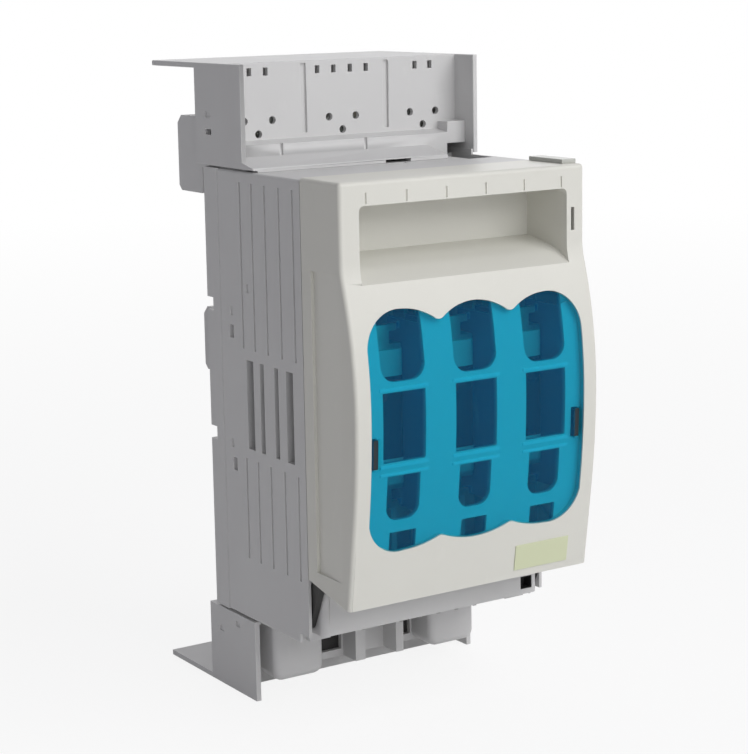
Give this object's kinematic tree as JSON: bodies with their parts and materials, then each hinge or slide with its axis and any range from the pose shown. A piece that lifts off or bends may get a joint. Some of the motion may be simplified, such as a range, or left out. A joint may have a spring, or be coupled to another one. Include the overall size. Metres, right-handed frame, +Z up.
{
  "type": "fuse switch disconnector",
  "caption": "Grey moulded fuse switch disconnector on a busbar adapter, with a bulged lid that swings down on a bottom hinge, a blue window onto the fuse-links and pull-off terminal covers",
  "frame": {"origin": "in the contact plane on the busbars, behind the middle of the middle bar", "axes": "+X across the poles to the viewer's right, -Y towards the lid, +Z up"},
  "size_m": [0.106, 0.143, 0.241],
  "materials": {
    "grey_moulding": "light-grey moulded thermoplastic, fine texture",
    "lid_moulding": "light-grey moulded thermoplastic, satin",
    "carrier_moulding": "light-grey moulded thermoplastic",
    "copper": "silver-plated copper bar, dull",
    "zinc_steel": "zinc-plated steel",
    "blue_window": "transparent blue polycarbonate, polished",
    "latch_moulding": "dark moulded thermoplastic",
    "label": "bare cream film",
    "fuse_ceramic": "dark insulating body",
    "fuse_metal": "silver-plated, dull",
    "indicator": "red lacquered indicator"
  },
  "bodies": {
    "base": {"base_housing": "grey_moulding", "contact_board": "grey_moulding", "pole_barriers": "grey_moulding", "busbar_adapter": "grey_moulding", "upper_contact_1": "copper", "upper_contact_2": "copper", "upper_contact_3": "copper", "lower_contact_1": "copper", "lower_contact_2": "copper", "lower_contact_3": "copper", "feeder_bar_1": "copper", "feeder_bar_2": "copper", "feeder_bar_3": "copper", "clamp_screw_1": "zinc_steel", "clamp_screw_2": "zinc_steel", "clamp_screw_3": "zinc_steel", "jaw_springs": "zinc_steel", "contact_screws": "zinc_steel", "terminal_bolts": "zinc_steel", "terminal_washers": "zinc_steel", "terminal_nuts": "zinc_steel", "housing_screws": "zinc_steel", "hinge_pins": "zinc_steel"},
    "lid": {"lid_shell": "lid_moulding", "fuse_carrier": "carrier_moulding", "window_latches": "latch_moulding", "label_plate": "label", "fuse_body_1": "fuse_ceramic", "fuse_end_plates_1": "fuse_metal", "fuse_blades_1": "fuse_metal", "fuse_indicator_1": "indicator", "fuse_body_2": "fuse_ceramic", "fuse_end_plates_2": "fuse_metal", "fuse_blades_2": "fuse_metal", "fuse_indicator_2": "indicator", "fuse_body_3": "fuse_ceramic", "fuse_end_plates_3": "fuse_metal", "fuse_blades_3": "fuse_metal", "fuse_indicator_3": "indicator"},
    "window": {"inspection_window": "blue_window"},
    "top_cover": {"top_terminal_cover": "grey_moulding"},
    "bottom_cover": {"bottom_terminal_cover": "grey_moulding"},
    "clamp_1": {"busbar_clamp_1": "zinc_steel"},
    "clamp_2": {"busbar_clamp_2": "zinc_steel"},
    "clamp_3": {"busbar_clamp_3": "zinc_steel"}
  },
  "joints": [
    {"name": "lid_hinge", "type": "hinge", "parent": "base", "child": "lid", "pos_m": [0, -0.0645, -0.079], "axis": [1, 0, 0], "range_deg": [0, 75]},
    {"name": "window_slide", "type": "slide", "parent": "lid", "child": "window", "axis": [0, -1, 0], "range_m": [0, 0.012]},
    {"name": "top_cover_slide", "type": "slide", "parent": "base", "child": "top_cover", "axis": [0, 0, 1], "range_m": [0, 0.04]},
    {"name": "bottom_cover_slide", "type": "slide", "parent": "base", "child": "bottom_cover", "axis": [0, 0, -1], "range_m": [0, 0.034]},
    {"name": "clamp_1_slide", "type": "slide", "parent": "base", "child": "clamp_1", "axis": [0, 1, 0], "range_m": [0, 0.003]},
    {"name": "clamp_2_slide", "type": "slide", "parent": "base", "child": "clamp_2", "axis": [0, 1, 0], "range_m": [0, 0.003]},
    {"name": "clamp_3_slide", "type": "slide", "parent": "base", "child": "clamp_3", "axis": [0, 1, 0], "range_m": [0, 0.003]}
  ]
}
